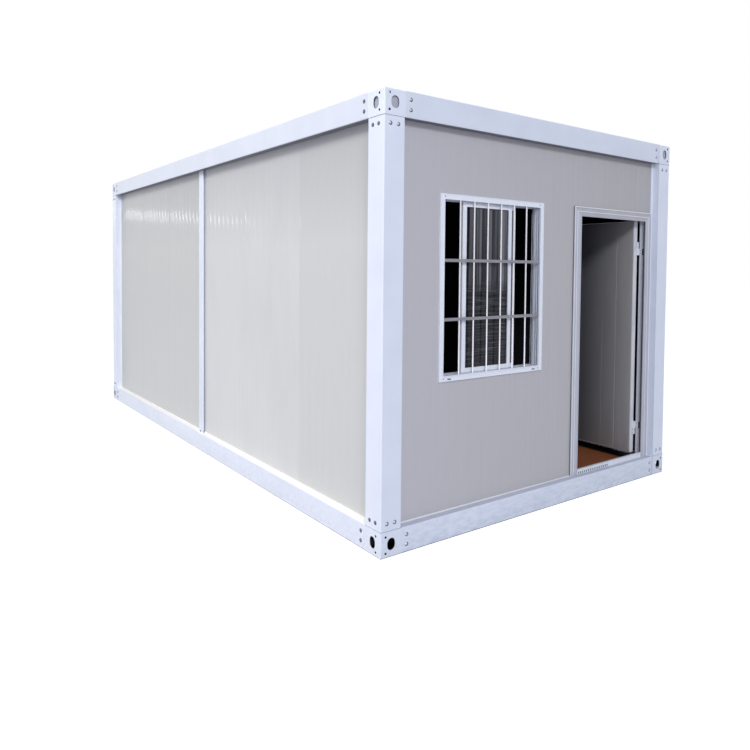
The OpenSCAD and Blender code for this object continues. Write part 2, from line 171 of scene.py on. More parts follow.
def joined(name, parts):
    bpy.ops.object.select_all(action="DESELECT")
    for part in parts:
        part.select_set(True)
    bpy.context.view_layer.objects.active = parts[0]
    if len(parts) > 1:
        bpy.ops.object.join()
    parts[0].name = parts[0].data.name = name
    return parts[0]


def mirrored(obj, axes):
    # adds the mirror image of a piece across the house's middle planes
    parts = [obj]
    for axis in axes:
        flip = Matrix.Scale(-1, 4, Vector([float(a == axis) for a in "xyz"]))
        parts += [copied(part, flip) for part in parts]
    return joined(obj.name, parts)


def cutAway(obj, cutter):
    applyModifier(obj, "BOOLEAN", operation="DIFFERENCE", solver="EXACT", object=cutter)
    bpy.data.objects.remove(cutter)
    return obj


def finished(obj, material, body, angle=sharpAngle):
    obj.data.materials.clear()
    obj.data.materials.append(material)
    activate(obj)
    bpy.ops.object.shade_smooth_by_angle(angle=math.radians(angle))
    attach(obj, body)
    return obj


def facingOut(x, y, nx, ny, z=0.0):
    # a place on an upright face, turned so that local z points out of it and local y up
    out = Vector((nx, ny, 0))
    side = Vector((0, 0, 1)).cross(out)
    turn = Matrix((side, Vector((0, 0, 1)), out)).transposed().to_4x4()
    return Matrix.Translation((x, y, z)) @ turn


def linear(hexColour):
    parts = [int(hexColour[i:i + 2], 16) / 255 for i in (1, 3, 5)]
    return tuple(c / 12.92 if c <= 0.04045 else ((c + 0.055) / 1.055) ** 2.4 for c in parts) + (1,)


def addNode(tree, kind, inputs=None, **settings):
    # a node with its settings; each input is a value or another node's output
    node = tree.nodes.new(kind)
    for key, value in settings.items():
        setattr(node, key, value)
    for key, value in (inputs or {}).items():
        if isinstance(value, bpy.types.NodeSocket):
            tree.links.new(value, node.inputs[key])
        else:
            node.inputs[key].default_value = value
    return node


def newMaterial(name):
    material = bpy.data.materials.new(name)
    material.use_nodes = True
    tree = material.node_tree
    place = addNode(tree, "ShaderNodeTexCoord").outputs["Object"]
    return material, tree, tree.nodes["Principled BSDF"], place


def cells(tree, place, sizes):
    # coordinates that count one unit for each given size in millimetres
    return addNode(tree, "ShaderNodeMapping", {"Vector": place,
            "Scale": [1000 / s for s in sizes]}).outputs["Vector"]


def noise(tree, place, sizes, detail=3.0, rough=0.5):
    return addNode(tree, "ShaderNodeTexNoise", {"Vector": cells(tree, place, sizes), "Scale": 1.0,
            "Detail": detail, "Roughness": rough}).outputs["Fac"]


def mapped(tree, value, start, end, first=0.0, last=1.0):
    return addNode(tree, "ShaderNodeMapRange", {"Value": value, "From Min": start, "From Max": end,
            "To Min": first, "To Max": last}).outputs["Result"]


def maths(tree, operation, *values):
    return addNode(tree, "ShaderNodeMath", dict(enumerate(values)), operation=operation).outputs[0]


def blended(tree, factor, first, second):
    return addNode(tree, "ShaderNodeMix", {0: factor, 6: first, 7: second}, data_type="RGBA").outputs[2]


def heightOf(tree, place):
    return addNode(tree, "ShaderNodeSeparateXYZ", {"Vector": place}).outputs["Z"]


def cloudyColour(tree, place, v):
    # the finish's own colour with slow patches of a second one
    patches = mapped(tree, noise(tree, place, v["patchSize"]), 0.4, 0.75, 0.0, v["patches"])
    return blended(tree, patches, linear(v["colour"]), linear(v["patchColour"]))


def splashed(tree, place, colour, v):
    # dust and rain splash that thins out upward from the ground
    spots = mapped(tree, noise(tree, place, v["splashSize"], 6.0, 0.7), 0.40, 0.66)
    amount = maths(tree, "MULTIPLY", spots, mapped(tree, heightOf(tree, place), v["splashTop"], 0.0, 0.0,
            v["splash"]))
    return blended(tree, amount, colour, linear(v["splashColour"]))


def grained(tree, shader, place, v):
    # fine relief and the gloss that changes with it
    grain = noise(tree, place, v["grainSize"], 2.0)
    spread = v["roughSpread"]
    tree.links.new(mapped(tree, grain, 0.3, 0.7, v["rough"] - spread, v["rough"] + spread),
                   shader.inputs["Roughness"])
    bump = addNode(tree, "ShaderNodeBump", {"Height": grain, "Strength": v["bump"], "Distance": 0.001})
    tree.links.new(bump.outputs["Normal"], shader.inputs["Normal"])


def insideRoom(tree, place):
    # 1 on surfaces that face the room, 0 outside
    axes = addNode(tree, "ShaderNodeSeparateXYZ", {"Vector": place}).outputs
    margin = 0.03    # the inner part of the walls' thickness counts as room
    innerX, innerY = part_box("right_wall")[0].x + margin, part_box("rear_wall")[0].y + margin
    return maths(tree, "MULTIPLY", maths(tree, "LESS_THAN", maths(tree, "ABSOLUTE", axes["X"]), innerX),
                 maths(tree, "LESS_THAN", maths(tree, "ABSOLUTE", axes["Y"]), innerY))


def banded(tree, place, colour, axis, bands):
    # other colours between pairs of places along one axis
    along = addNode(tree, "ShaderNodeSeparateXYZ", {"Vector": place}).outputs[axis]
    for start, end, other in bands:
        within = maths(tree, "MULTIPLY", maths(tree, "GREATER_THAN", along, start),
                       maths(tree, "LESS_THAN", along, end))
        colour = blended(tree, within, colour, linear(other))
    return colour


def coated(name, v):
    material, tree, shader, place = newMaterial(name)
    colour = banded(tree, place, cloudyColour(tree, place, v), "Y", v.get("sheets", ()))
    # painted light: the colour changes gradually along one axis toward a lighter one, as light falling off
    # along a wall
    if "wash" in v:
        axis, start, end, other = v["wash"]
        along = addNode(tree, "ShaderNodeSeparateXYZ", {"Vector": place}).outputs[axis]
        colour = blended(tree, mapped(tree, along, start, end), colour, linear(other))
    if "shade" in v:
        # painted shade that deepens toward the top, under the roof rail
        colour = blended(tree, mapped(tree, heightOf(tree, place), v["shadeFrom"], high.z, 0.0, v["shade"]),
                         colour, linear(v["shadeColour"]))
    # surfaces facing the room painted near-black: painted shade of the dark room
    if "roomShade" in v:
        colour = blended(tree, insideRoom(tree, place), colour, linear(v["roomShade"]))
    if "splash" in v:
        colour = splashed(tree, place, colour, v)
    colour = banded(tree, place, colour, "Z", v.get("bands", ()))
    tree.links.new(colour, shader.inputs["Base Color"])
    grained(tree, shader, place, v)
    shader.inputs["Coat Weight"].default_value = v.get("coat", 0.0)
    shader.inputs["Coat Roughness"].default_value = v.get("coatRough", 0.03)
    return material


# sprayed white enamel: even and bright, with a faint orange-peel sheen and rain splash near the ground
enamelLook = {"colour": "#f0f3fd", "patchColour": "#e4e8f4", "patchSize": (260, 260, 260), "patches": 0.5,
              "splash": 0.25, "splashTop": 0.22, "splashColour": "#a2a0a0", "splashSize": (34, 34, 26),
              "grainSize": (7, 7, 7), "rough": 0.34, "roughSpread": 0.05, "bump": 0.12}
frameEnamel = coated("sprayedEnamelOnSteel", enamelLook)
cornerLow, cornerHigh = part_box("base_corner_front_left")
cornerSize = cornerHigh - cornerLow
railTop, railFoot = cornerSize.z, high.z - cornerSize.z
# a near-black band at the very foot of rails and castings: painted contact shadow
paintedFootShadow = (-1, 0.006, "#26262b")
ledge = (railTop - 0.0004, railTop + 0.001)
# base rails: the ledge on top painted a brighter, warmer white as painted light on the up-facing top; a
# near-black band at the foot is painted contact shadow
baseEnamel = coated("sprayedEnamelOnBaseRail", dict(enamelLook, bands=(paintedFootShadow, (*ledge, "#fbf9f6"))))
# end rails: the same enamel with broad rubbed streaks, and the ledge painted greyer as painted shade on the
# up-facing top
endRailEnamel = coated("sprayedEnamelOnEndRail", dict(enamelLook, splash=0.4, splashSize=(80, 80, 30),
        splashColour="#a6b0c6", splashTop=0.3, bands=(paintedFootShadow, (*ledge, "#c8cad8"))))
# roof rails: a greyer copy of the enamel, with a dark band along the underside as painted shade
roofEnamel = coated("sprayedEnamelOnRoofRail",
                    dict(enamelLook, colour="#e8ebf5", patchColour="#dcdfea", splash=0.0,
                         bands=((railFoot - 0.001, railFoot + 0.0004, "#67656e"),)))

# thick brushed bead of white along the ledges, a brighter white than the enamel as a painted highlight along
# these edges
beadEnamel = coated("brushedWhiteBead", dict(enamelLook, colour="#fbfaf9", patchColour="#f0efef", splash=0.0))

# coil-coated facing: grey-white and glossy, drawn with fine lines along the panel; painted shade toward its
# top under the roof rail, and its room side painted near-black as painted shade of the dark room
facingLook = {"roomShade": "#2f2f33", "colour": "#dad8d5", "patchColour": "#cfcdca",
              "patchSize": (420, 420, 900), "patches": 0.5, "grainSize": (24, 24, 700), "rough": 0.42,
              "roughSpread": 0.05, "bump": 0.05, "coat": 0.25, "coatRough": 0.1, "shadeFrom": 1.9,
              "shade": 0.5, "shadeColour": "#8f8e98"}
facingCoat = coated("coilCoatedSteelFacing", dict(facingLook,
        sheets=((-4, -1.9, "#d3d1cd"), (0, 4, "#cbc9c5"))))
# front facing: a darker copy of the facing, painted lighter toward the left end as painted light falling off
# from the left, with close-set fine lines
frontCoat = coated("coilCoatedFrontFacing",
                   dict(facingLook, colour="#c0bcba", patchColour="#b7b3b1", coat=0.0, rough=0.34, shade=0.12,
                        patchSize=(13, 13, 1800), patches=0.9, wash=("X", 1.0, -1.45, "#c9c5c7")))
# ceiling and roof sheets: the same coating, plain and evenly grained; the ceiling, facing the room, takes the
# near-black painted room shade
ceilingCoat = coated("coatedCeilingSheet", dict(facingLook, grainSize=(9, 9, 9)))
roofLook = {"colour": "#cfd3db", "patchColour": "#bfc3cc", "patchSize": (500, 500, 500), "patches": 0.6,
            "grainSize": (9, 9, 9), "rough": 0.38, "roughSpread": 0.06, "bump": 0.05}
roofCoat = coated("coatedRoofSheet", roofLook)

# hot-dip zinc: dull grey with small crystal patches
zincLook = {"colour": "#aeb2b8", "patchColour": "#8f949a", "patchSize": (22, 22, 22), "patches": 0.9,
            "grainSize": (5, 5, 5), "rough": 0.45, "roughSpread": 0.1, "bump": 0.1}
dippedZinc = coated("hotDipZincOnSteel", zincLook)

# satin door paint: a little greyer than the frame, scuffed near the sill
doorLook = {"colour": "#cdccd4", "patchColour": "#c0bfc8", "patchSize": (120, 120, 300), "patches": 0.6,
            "splash": 0.5, "splashTop": 0.3, "splashColour": "#9b9a9c", "splashSize": (26, 26, 40),
            "grainSize": (6, 6, 6), "rough": 0.38, "roughSpread": 0.06, "bump": 0.1}
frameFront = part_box("door_frame_left")[0].y
# the stop's inner side painted darker as painted shade in the corner, the rebate behind it painted lighter as
# painted light
stopFrom, rebateFrom = frameFront + 0.007, frameFront + 0.0202
rebateShadeAndLight = ((stopFrom, rebateFrom, "#58585e"), (rebateFrom, 0, "#dedde2"))
doorFrameSatin = coated("satinPaintOnFoldedSteel", dict(doorLook, sheets=rebateShadeAndLight))
# the door head: the door paint a shade darker, as painted shade
doorHeadSatin = coated("satinPaintOnDoorHead", dict(doorLook, colour="#c0bec2", patchColour="#b4b2b7",
        sheets=rebateShadeAndLight))
# sill and leaf edges: the same paint made lighter, as painted light
sillSatin = coated("satinPaintOnSill", dict(doorLook, colour="#f4f5fa", patchColour="#e9ebf2", splash=0.15))
leafSatin = coated("satinPaintOnDoorEdge", dict(doorLook, colour="#f6f3f5", patchColour="#d9dae2",
        splash=0.3))


def doorFilm(name, v):
    # painted shade: the skin darkens from the hinge side toward the lock, as the daylight through the doorway
    # falls off
    material, tree, shader, place = newMaterial(name)
    along = addNode(tree, "ShaderNodeSeparateXYZ", {"Vector": place}).outputs["Y"]
    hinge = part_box("door_leaf")[0].y
    shadedTowardLock = mapped(tree, along, hinge, hinge + v["fade"])
    colour = blended(tree, shadedTowardLock, cloudyColour(tree, place, v), linear(v["dull"]))
    tree.links.new(splashed(tree, place, colour, v), shader.inputs["Base Color"])
    grained(tree, shader, place, v)
    return material


# protective film still on the door skins: grey, with painted shade darkening it toward the lock
leafSkin = doorFilm("plasticFilmOnDoorSkin", {"colour": "#c3bfbc", "patchColour": "#b7b3b1",
        # dull: the colour of the painted shade toward the lock; fade: how far from the hinge side the painted
        # shade takes to deepen
        "patchSize": (70, 70, 500), "patches": 0.6, "dull": "#68676a", "fade": 0.5, "splash": 0.25,
        "splashTop": 0.6, "splashColour": "#6d6d70", "splashSize": (60, 60, 60), "grainSize": (5, 5, 120),
        "rough": 0.48, "roughSpread": 0.06, "bump": 0.15})

# extruded uPVC: smooth bluish white with a soft shine
pvcLook = {"colour": "#f8f9fe", "patchColour": "#f0f1f8", "patchSize": (90, 90, 90), "patches": 0.4,
           "grainSize": (9, 9, 9), "rough": 0.26, "roughSpread": 0.04, "bump": 0.05}
windowPvc = coated("extrudedPvc", pvcLook)
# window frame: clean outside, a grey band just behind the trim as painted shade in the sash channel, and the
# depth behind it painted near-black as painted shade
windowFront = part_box("window_frame")[0].y
channelFrom, channelTo, unlitFrom = windowFront + 0.012, windowFront + 0.020, windowFront + 0.068
framePvc = coated("extrudedPvcFrame", dict(pvcLook,
        sheets=((channelFrom, channelTo, "#8b8d98"), (unlitFrom, 0, "#1d1d20"))))
# sash tracks: the same plastic, grey with road dust
trackPvc = coated("extrudedPvcTrack", dict(pvcLook, colour="#c9ccd8", patchColour="#a5a7b0", patches=0.9,
        patchSize=(40, 40, 40)))
# flat grey primer on the blanking plates
greyPrimer = coated("greyPrimerOnPlate", dict(enamelLook, colour="#b6b6c0", patchColour="#a6a6b1", splash=0.0,
        rough=0.5))
print("paints and plastics made")


def bareMetal(name, v):
    material, tree, shader, place = newMaterial(name)
    tree.links.new(cloudyColour(tree, place, v), shader.inputs["Base Color"])
    shader.inputs["Metallic"].default_value = v["metallic"]
    grained(tree, shader, place, v)
    return material


# mill-finish aluminium: dull grey, drawn lengthwise
barLook = {"colour": "#96939a", "patchColour": "#757279", "patchSize": (60, 6, 6), "patches": 0.7,
           "metallic": 0.4, "grainSize": (90, 2, 2), "rough": 0.45, "roughSpread": 0.08, "bump": 0.1}
drawnAluminium = bareMetal("drawnAluminium", barLook)
# satin stainless: hinge plates and handles, brushed along their length
satinSteel = bareMetal("satinStainlessSteel", dict(barLook, colour="#c8c9cf", patchColour="#a9aab1",
        patchSize=(5, 5, 60), grainSize=(2, 2, 50), metallic=0.9, rough=0.32))
# painted hinges: white on the knuckles, dulled by wear
hingeSteel = bareMetal("paintedHingeSteel", dict(barLook, colour="#eeeff4", patchColour="#d5d7de",
        patchSize=(7, 7, 30), grainSize=(3, 3, 20), metallic=0.2, rough=0.35))
# bright zinc on bolts and screws
platedZinc = bareMetal("brightZincOnBolt", dict(barLook, colour="#d6d9e2", patchColour="#aeb1bb",
        patchSize=(9, 9, 9), grainSize=(4, 4, 4), metallic=0.55, rough=0.28))
# dull zinc: a darker copy of the bolt zinc, used on the long sides
dullZinc = bareMetal("dullZincOnBolt", dict(barLook, colour="#80828d", patchColour="#5d5f69",
        patchSize=(6, 6, 6), grainSize=(4, 4, 4), metallic=0.3, rough=0.5))


def darkPart(name, first, second, size, rough):
    material, tree, shader, place = newMaterial(name)
    tree.links.new(blended(tree, noise(tree, place, (size, size, size)), linear(first), linear(second)),
                   shader.inputs["Base Color"])
    shader.inputs["Roughness"].default_value = rough
    return material


gapSeal = darkPart("blackSealant", "#34353c", "#494a53", 12, 0.6)    # matt black joint filler, dust on it
paleSeal = darkPart("greySealant", "#7f8498", "#979db0", 18, 0.5)    # paintable grey joint filler
greySeal = darkPart("weatheredSealant", "#5d5f6b", "#777987", 60, 0.6)    # grey sealant with dirt in it
screwBlack = darkPart("blackOxideScrew", "#2b2b30", "#45454c", 4, 0.4)    # blackened screws, rubber and gaps


def castingEnamel(name, v):
    # the frame's enamel outside; the walls of the small holes and the hollow behind all holes painted
    # near-black as painted shade
    material, tree, shader, place = newMaterial(name)
    outside = banded(tree, place, splashed(tree, place, cloudyColour(tree, place, v), v), "Z", v["bands"])
    axes = addNode(tree, "ShaderNodeSeparateXYZ", {"Vector": place}).outputs
    side = v["wall"] / 2
    middle = high.z / 2
    holes = None
    for along, size in (("X", high.x - v["holeInEnd"]), ("Y", high.y - v["holeInSide"])):
        acrossOff = maths(tree, "SUBTRACT", maths(tree, "ABSOLUTE", axes[along]), size)
        for up in v["holeRows"]:
            # rows counted from the ground and from the roof line alike
            upright = maths(tree, "ABSOLUTE", maths(tree, "SUBTRACT", axes["Z"], middle))
            upOff = maths(tree, "SUBTRACT", upright, middle - up)
            away = maths(tree, "SQRT", maths(tree, "ADD", maths(tree, "MULTIPLY", acrossOff, acrossOff),
                    maths(tree, "MULTIPLY", upOff, upOff)))
            hole = maths(tree, "LESS_THAN", away, v["holeEdge"])
            holes = maths(tree, "MAXIMUM", holes, hole) if holes else hole
    outside = blended(tree, holes, outside, linear(v["hollowShade"]))
    inside = None
    for axis, size, depth in (("X", high.x, v["width"]), ("Y", high.y, v["length"]),
                              ("Z", middle, v["height"])):
        value = maths(tree, "SUBTRACT", axes[axis], middle) if axis == "Z" else axes[axis]
        away = maths(tree, "ABSOLUTE", value)
        within = maths(tree, "MULTIPLY", maths(tree, "LESS_THAN", away, size - side),
                       maths(tree, "GREATER_THAN", away, size - depth + side))
        inside = maths(tree, "MULTIPLY", inside, within) if inside else within
    tree.links.new(blended(tree, inside, outside, linear(v["hollowShade"])), shader.inputs["Base Color"])
    grained(tree, shader, place, v)
    return material


castingLook = dict(enamelLook, bands=(paintedFootShadow,), width=cornerSize.x, length=cornerSize.y,
                   height=cornerSize.z, wall=0.008, hollowShade="#121114", holeInEnd=0.038, holeInSide=0.050,
                   holeRows=(0.030, 0.129), holeEdge=0.0078)
castingPaint = castingEnamel("sprayedEnamelOnCasting", castingLook)


def laidFloor(name, v):
    material, tree, shader, place = newMaterial(name)
    boards = addNode(tree, "ShaderNodeTexBrick", {"Vector": place, "Color1": linear(v["light"]),
            "Color2": linear(v["dark"]), "Mortar": linear(v["joint"]), "Scale": 1.0, "Mortar Size": 0.0015,
            "Brick Width": v["length"], "Row Height": v["width"]}).outputs["Color"]
    grain = noise(tree, place, v["grain"], 6.0, 0.6)
    colour = blended(tree, mapped(tree, grain, 0.35, 0.7, 0.0, 0.55), boards, linear(v["streak"]))
    # painted shadow: the floor behind the open door leaf painted near-black
    leafLow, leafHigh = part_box("door_leaf")
    axes = addNode(tree, "ShaderNodeSeparateXYZ", {"Vector": place}).outputs
    behind = maths(tree, "MULTIPLY", mapped(tree, axes["X"], leafLow.x, leafHigh.x - v["leafShadowIn"]),
                   mapped(tree, axes["Y"], leafHigh.y + v["leafShadowPast"], leafHigh.y))
    tree.links.new(blended(tree, behind, colour, linear(v["leafShadow"])), shader.inputs["Base Color"])
    bump = addNode(tree, "ShaderNodeBump", {"Height": grain, "Strength": 0.2, "Distance": 0.0005})
    tree.links.new(bump.outputs["Normal"], shader.inputs["Normal"])
    shader.inputs["Roughness"].default_value = v["rough"]
    return material


# printed vinyl on plywood: red-brown boards with long streaks
floorVinyl = laidFloor("printedVinylOnPlywood", {"light": "#a66239", "dark": "#995934", "joint": "#5b3723",
        "streak": "#884c2e", "grain": (220, 12, 12), "length": 1.2, "width": 0.15, "rough": 0.5,
        "leafShadow": "#0b0a0a", "leafShadowIn": 0.02, "leafShadowPast": 0.4})


def paintedRoomGlass(name, v):
    # float glass over a dark room, its colour painted near-black as painted shade of the room, with upright
    # light bands above and fine level lines below as painted reflections
    material, tree, shader, place = newMaterial(name)
    bands = mapped(tree, noise(tree, place, v["bands"], 3.0, 0.6), 0.42, 0.64)
    lines = mapped(tree, noise(tree, place, v["lines"], 4.0, 0.7), 0.48, 0.72)
    upper = mapped(tree, heightOf(tree, place), v["change"] - v["soft"], v["change"] + v["soft"])
    above = blended(tree, bands, linear(v["dark"]), linear(v["light"]))
    below = blended(tree, maths(tree, "MULTIPLY", lines, mapped(tree, bands, 0.0, 1.0, 0.4, 1.0)),
                    linear(v["dark"]), linear(v["faint"]))
    tree.links.new(blended(tree, upper, below, above), shader.inputs["Base Color"])
    shader.inputs["Roughness"].default_value = v["rough"]
    shader.inputs["Specular IOR Level"].default_value = v["mirror"]
    return material


paneGlass = paintedRoomGlass("floatGlassWithPaintedRoom", {"bands": (34, 34, 5000), "lines": (220, 220, 8), "change": 1.62,
        "soft": 0.05, "dark": "#17171a", "light": "#85858c", "faint": "#77777e", "rough": 0.12,
        "mirror": 0.2})

# grille rods: thin bright paint that still mirrors the dark room at their sides
rodSteel = bareMetal("brightSteelRod", dict(barLook, colour="#eceaee", patchColour="#d6d4d9",
        patchSize=(7, 7, 60), grainSize=(3, 3, 20), metallic=0.8, rough=0.2))

looks = {"post": frameEnamel, "base_rail_front": endRailEnamel, "base_rail_rear": endRailEnamel,
         "base_rail": baseEnamel, "roof_rail": roofEnamel, "base_corner": castingPaint,
         "roof_corner": castingPaint, "left_divider": frameEnamel, "right_divider": frameEnamel,
         "left_wall": facingCoat, "right_wall": facingCoat, "rear_wall": facingCoat, "front_wall": frontCoat,
         "window_panel": frontCoat, "over_door_panel": frontCoat, "floor_joists": dippedZinc,
         "roof_beams": dippedZinc, "floor_board": floorVinyl, "ceiling_panel": ceilingCoat,
         "roof_sheet": roofCoat, "window_frame": framePvc, "window_sashes": windowPvc,
         "window_glass": paneGlass, "grille_rods": rodSteel, "grille_bars": drawnAluminium,
         "door_frame_head": doorHeadSatin, "door_frame": doorFrameSatin, "door_sill": sillSatin,
         "door_leaf": leafSatin, "frame_hinges": hingeSteel, "leaf_hinges": hingeSteel,
         "door_handles": satinSteel}
for nodeName, node in nodes.items():
    node.data.materials.clear()
    node.data.materials.append(next(look for start, look in looks.items() if nodeName.startswith(start)))
print("frame finished")

wallLines = {"panel": 0.95, "ribPitch": 0.1, "firstRib": 0.075, "ribs": 9, "ribHalf": 0.006,
             "jointHalf": 0.003, "thick": 0.0014, "depth": 0.0008, "keepOff": 0.02, "lap": 0.006,
             "sideJoints": 7, "rearJoints": 4, "frontAngle": 4}


def ribsOf(joints, start, end):
    # the pressed lines of every panel that starts at one of the joints
    v = wallLines
    lines = [left + v["firstRib"] + i * v["ribPitch"] for left in joints for i in range(v["ribs"])]
    return [x for x in lines if start + v["keepOff"] < x < end - v["keepOff"]]


def facing(name, width, foot, top, joints, ribs):
    # a thin sheet that faces -y, its left end at x = 0 and its back at y = 0, with pressed lines
    v = wallLines
    sheet = block(name, (0, -v["thick"], foot), (width, 0, top))
    startEdit(sheet)
    for x, half in [(x, v["ribHalf"]) for x in ribs] + [(x, v["jointHalf"]) for x in joints]:
        cutAcross("x", (x - half, x, x + half))
    middles = list(ribs) + list(joints)
    pick(sheet, "verts", lambda p: p.co.y < -v["thick"] / 2
         and any(abs(p.co.x - x) < touching for x in middles))
    bpy.ops.transform.translate(value=(0, v["depth"], 0))
    endEdit()
    return sheet


def alongWall(angle, x, y):
    return Matrix.Translation((x, y, 0)) @ Matrix.Rotation(angle, 4, "Z")


def placedFacing(sheet, name, turn, x, y, coat, angle=sharpAngle):
    skin = copied(sheet, alongWall(turn, x, y), name)
    bpy.data.objects.remove(sheet)
    return finished(skin, coat, "shell", angle)


def evenJoints(run, count):
    # joints of the panels set out from the wall's middle, those past its ends included
    return [run / 2 + (k - (count - 1) / 2) * wallLines["panel"] for k in range(count)]


def makeFacings():
    v = wallLines
    for side, wall in ((-1, "left_wall"), (1, "right_wall")):
        a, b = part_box(wall)
        run = b.y - a.y
        joints = evenJoints(run, v["sideJoints"])
        sheet = facing("sheet", run, a.z, b.z, joints[1:-1], ribsOf(joints, 0, run))
        face = a.x if side < 0 else b.x
        placedFacing(sheet, wall.replace("_wall", "Facing"), side * math.pi / 2, face, -side * b.y,
                     facingCoat)
    a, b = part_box("rear_wall")
    run = b.x - a.x
    joints = evenJoints(run, v["rearJoints"])
    sheet = facing("sheet", run, a.z, b.z, joints[1:-1], ribsOf(joints, 0, run))
    placedFacing(sheet, "rearFacing", math.pi, b.x, b.y, facingCoat)
    a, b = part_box("front_wall")
    windowLow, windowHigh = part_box("window_frame")
    doorLow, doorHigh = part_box("door_frame_left")[0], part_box("door_frame_right")[1]
    panelLow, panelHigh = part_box("window_panel")
    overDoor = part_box("over_door_panel")[0].x - a.x
    run = b.x - a.x
    joints = [panelLow.x - a.x, panelHigh.x - a.x]
    ribs = ribsOf([joints[0] - v["panel"]] + joints, 0, overDoor) + ribsOf([overDoor], overDoor, run)
    sheet = facing("sheet", run, a.z, b.z, joints + [overDoor], ribs)
    lap = v["lap"]
    cutAway(sheet, block("cutter", (windowLow.x + lap - a.x, -1, windowLow.z + lap),
                         (windowHigh.x - lap - a.x, 1, windowHigh.z - lap)))
    cutAway(sheet, block("cutter", (doorLow.x + lap - a.x, -1, 0),
                         (doorHigh.x - lap - a.x, 1, doorHigh.z - lap)))
    placedFacing(sheet, "frontFacing", 0, a.x, a.y, frontCoat, v["frontAngle"])
    print("wall facings made")


makeFacings()

footStrip = {"height": 0.008, "depth": 0.008, "round": 0.002}


def makeFootStrips():
    # a pressed bead that closes the wall sheets against the base rails
    v = footStrip
    front, left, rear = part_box("front_wall"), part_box("left_wall"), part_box("rear_wall")
    doorLow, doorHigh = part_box("door_frame_left")[0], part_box("door_frame_right")[1]
    frontY, rearY, foot = front[0].y, rear[1].y, front[0].z
    spans = [((front[0].x, frontY - v["depth"]), (doorLow.x, frontY)),
             ((doorHigh.x, frontY - v["depth"]), (front[1].x, frontY)),
             ((rear[0].x, rearY), (rear[1].x, rearY + v["depth"]))]
    spans += [((side * -left[0].x, left[0].y), (side * (v["depth"] - left[0].x), left[1].y))
              for side in (-1, 1)]
    strips = [block("strip", (*a, foot), (*b, foot + v["height"]), v["round"]) for a, b in spans]
    finished(joined("wallFootBeads", strips), beadEnamel, "shell")
    print("wall foot beads made")


makeFootStrips()

ledgeBead = {"wide": 0.007, "high": 0.0016, "round": 0.0006}


def makeLedgeBeads():
    # a raised lip along the outer edge of the side rails' tops
    v = ledgeBead
    a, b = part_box("base_rail_left")
    strip = block("ledgeBeads", (a.x, a.y, b.z), (a.x + v["wide"], b.y, b.z + v["high"]), v["round"])
    finished(mirrored(strip, "x"), beadEnamel, "shell")
    print("ledge beads made")


makeLedgeBeads()

boltLook = {"radius": 0.0088, "height": 0.0026, "dome": 0.0021, "socket": 0.0042, "sunk": 0.0012,
            "washer": 0.0130, "washerHeight": 0.0006, "off": 0.0037,
            "railInFront": 0.199, "railInSide": 0.215, "rows": (0.050, 0.111),
            "postRow": 0.207, "postInFront": (0.048, 0.106), "postInSide": (0.060, 0.120)}


def boltHead():
    # a button head with a socket
    v = boltLook
    head = disc("boltHead", v["radius"], v["height"])
    startEdit(head)
    pick(head, "faces", lambda f: f.normal.z > 0.9)
    bpy.ops.mesh.bevel(offset=v["dome"], segments=4)
    endEdit()
    return sunken(head, v["radius"] - v["dome"] - v["socket"], v["sunk"])


def washer():
    v = boltLook
    ring = disc("washer", v["washer"], v["washerHeight"])
    return soften(ring, v["washerHeight"] * 0.4, 1)


def boltPlaces():
    # places on the end faces and places on the side faces
    v = boltLook
    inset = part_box("post_front_left")[0].x - low.x
    ends, sides = [], []
    for sx in (-1, 1):
        for sy in (-1, 1):
            outX, outY = sx * (high.x - inset), sy * (high.y - inset)
            for row in v["rows"]:
                for z in (row, high.z - row):
                    ends.append(facingOut(sx * (high.x - v["railInFront"]), outY, 0, sy, z))
                    sides.append(facingOut(outX, sy * (high.y - v["railInSide"]), sx, 0, z))
            for z in (v["postRow"], high.z - v["postRow"]):
                ends += [facingOut(sx * (high.x - d), outY, 0, sy, z) for d in v["postInFront"]]
                sides += [facingOut(outX, sy * (high.y - d), sx, 0, z) for d in v["postInSide"]]
    return ends, sides


def makeBolts():
    # the heads sit a little off the middle of their sunk black washers, so that the black shows on one side
    # as a painted shadow of the head
    v = boltLook
    head, ring = boltHead(), washer()
    ends, sides = boltPlaces()
    shift = Matrix.Translation((-v["off"], v["off"] / 2, 0))
    finished(joined("endBolts", [copied(head, place @ shift) for place in ends]), platedZinc, "shell")
    finished(joined("sideBolts", [copied(head, place @ shift) for place in sides]), dullZinc, "shell")
    finished(joined("boltShadowWashers", [copied(ring, place) for place in ends + sides]), gapSeal, "shell")
    for first in (head, ring):
        bpy.data.objects.remove(first)
    print("bolts made:", len(ends) + len(sides))


makeBolts()

castingFill = {"width": 0.066, "height": 0.086, "thick": 0.003, "behind": 0.0105, "round": 0.02,
               "jointTall": 0.0018, "jointProud": 0.0004, "jointSunk": 0.004, "jointKeep": 0.006,
               "jointRound": 0.0003, "railJoint": 0.0022, "railKeep": 0.004,
               "weld": (0.55, 0.003, 0.022, 0.130), "weldSunk": 0.001}


def makeCastingPlates():
    # blanking plates that close the ovals of the roof castings from inside
    v = castingFill
    plate = block("plate", (-v["width"] / 2, -v["height"] / 2, -v["thick"]),
                  (v["width"] / 2, v["height"] / 2, 0))
    startEdit(plate)
    pick(plate, "edges", lambda e: abs((e.verts[0].co - e.verts[1].co).z) > v["thick"] / 2)
    bpy.ops.mesh.bevel(offset=v["round"], segments=5)
    endEdit()
    middle = high.z - cornerSize.z / 2
    plates = []
    for sx in (-1, 1):
        for sy in (-1, 1):
            plates.append(copied(plate, facingOut(sx * (high.x - cornerSize.x / 2),
                    sy * (high.y - v["behind"]), 0, sy, middle)))
            plates.append(copied(plate, facingOut(sx * (high.x - v["behind"]),
                    sy * (high.y - cornerSize.y / 2), sx, 0, middle)))
    bpy.data.objects.remove(plate)
    finished(joined("castingPlates", plates), greyPrimer, "shell")


